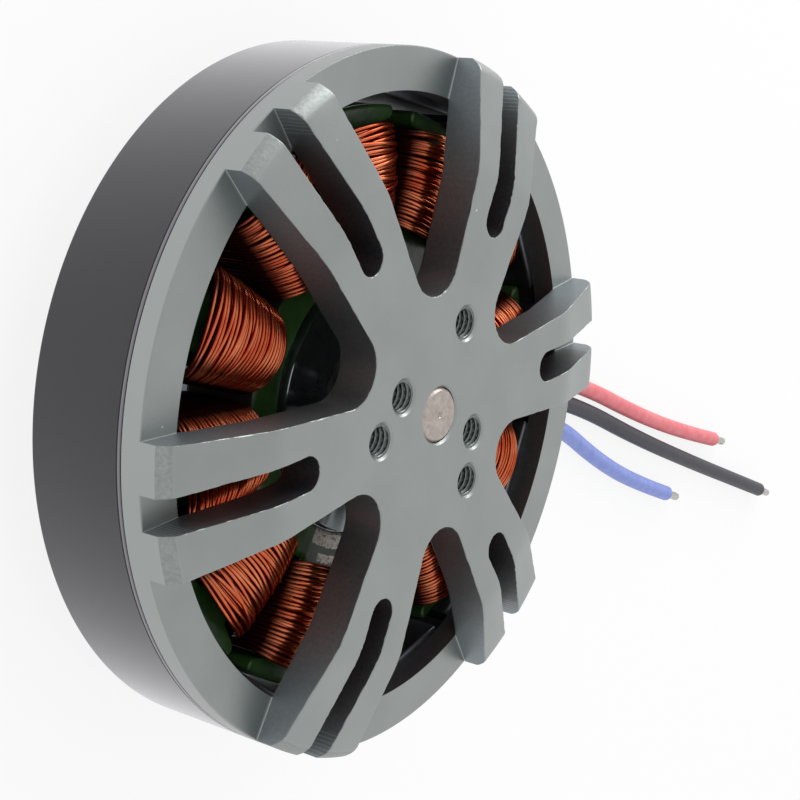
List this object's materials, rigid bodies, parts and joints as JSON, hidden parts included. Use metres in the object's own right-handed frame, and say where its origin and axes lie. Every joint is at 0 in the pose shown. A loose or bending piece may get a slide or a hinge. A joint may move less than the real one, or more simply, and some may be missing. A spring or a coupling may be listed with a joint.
{
  "type": "brushless outrunner motor",
  "caption": "Flat outrunner brushless motor: an open forked end bell and steel can spin on ball bearings round a wound stator, fed by loose leads.",
  "frame": {"origin": "centre of the rear mounting face, which is the lowest face of the motor", "axes": "+Z along the shaft, from the mounting face to the open face of the bell; +X midway between two arms of the bell, on the side where the leads leave"},
  "size_m": [0.1619, 0.063, 0.0225],
  "materials": {
    "bell_aluminium": "bead-blasted and anodised grey",
    "can_black": "satin black coating",
    "magnet_nickel": "nickel plated",
    "shaft_steel": "ground",
    "shim_steel": "bright",
    "clip_steel": "blackened spring steel",
    "base_aluminium": "turned and anodised grey",
    "core_steel": "stacked electrical steel",
    "green_epoxy": "dark green epoxy coating",
    "enamelled_copper": "enamelled copper wire; brass stands in for copper's density",
    "bearing_steel": "polished",
    "cage_nylon": "moulded nylon",
    "shrink_sleeve": "shrink tubing",
    "silicone_red": "silicone",
    "silicone_black": "silicone",
    "silicone_blue": "silicone",
    "tinned_copper": "tinned strands"
  },
  "bodies": {
    "stator": {"stator_base": "base_aluminium", "stator_core": "core_steel", "front_insulation": "green_epoxy", "rear_insulation": "green_epoxy", "coil_01": "enamelled_copper", "coil_02": "enamelled_copper", "coil_03": "enamelled_copper", "coil_04": "enamelled_copper", "coil_05": "enamelled_copper", "coil_06": "enamelled_copper", "coil_07": "enamelled_copper", "coil_08": "enamelled_copper", "coil_09": "enamelled_copper", "coil_10": "enamelled_copper", "coil_11": "enamelled_copper", "coil_12": "enamelled_copper", "front_outer_race": "bearing_steel", "rear_outer_race": "bearing_steel", "front_shields": "shim_steel", "rear_shields": "shim_steel", "phase_sleeves": "shrink_sleeve", "lead_red": "silicone_red", "lead_black": "silicone_black", "lead_blue": "silicone_blue", "tinned_end_red": "tinned_copper", "tinned_end_black": "tinned_copper", "tinned_end_blue": "tinned_copper"},
    "rotor": {"rotor_bell": "bell_aluminium", "flux_ring": "can_black", "rotor_magnets": "magnet_nickel", "shaft": "shaft_steel", "front_shim": "shim_steel", "rear_shim": "shim_steel", "retaining_clip": "clip_steel", "front_inner_race": "bearing_steel", "rear_inner_race": "bearing_steel"},
    "front_ball_set": {"front_balls": "bearing_steel", "front_cage": "cage_nylon"},
    "rear_ball_set": {"rear_balls": "bearing_steel", "rear_cage": "cage_nylon"}
  },
  "joints": [
    {"name": "rotor_spin", "type": "hinge", "parent": "stator", "child": "rotor", "pos_m": [0, 0, 0.0105], "axis": [0, 0, 1], "continuous": true},
    {"name": "front_ball_orbit", "type": "hinge", "parent": "stator", "child": "front_ball_set", "pos_m": [0, 0, 0.0126], "axis": [0, 0, 1], "continuous": true},
    {"name": "rear_ball_orbit", "type": "hinge", "parent": "stator", "child": "rear_ball_set", "pos_m": [0, 0, 0.0039], "axis": [0, 0, 1], "continuous": true}
  ],
  "couplings": [
    {"joint": "front_ball_orbit", "follows": "rotor_spin", "ratio": 0.3889},
    {"joint": "rear_ball_orbit", "follows": "rotor_spin", "ratio": 0.3889}
  ]
}
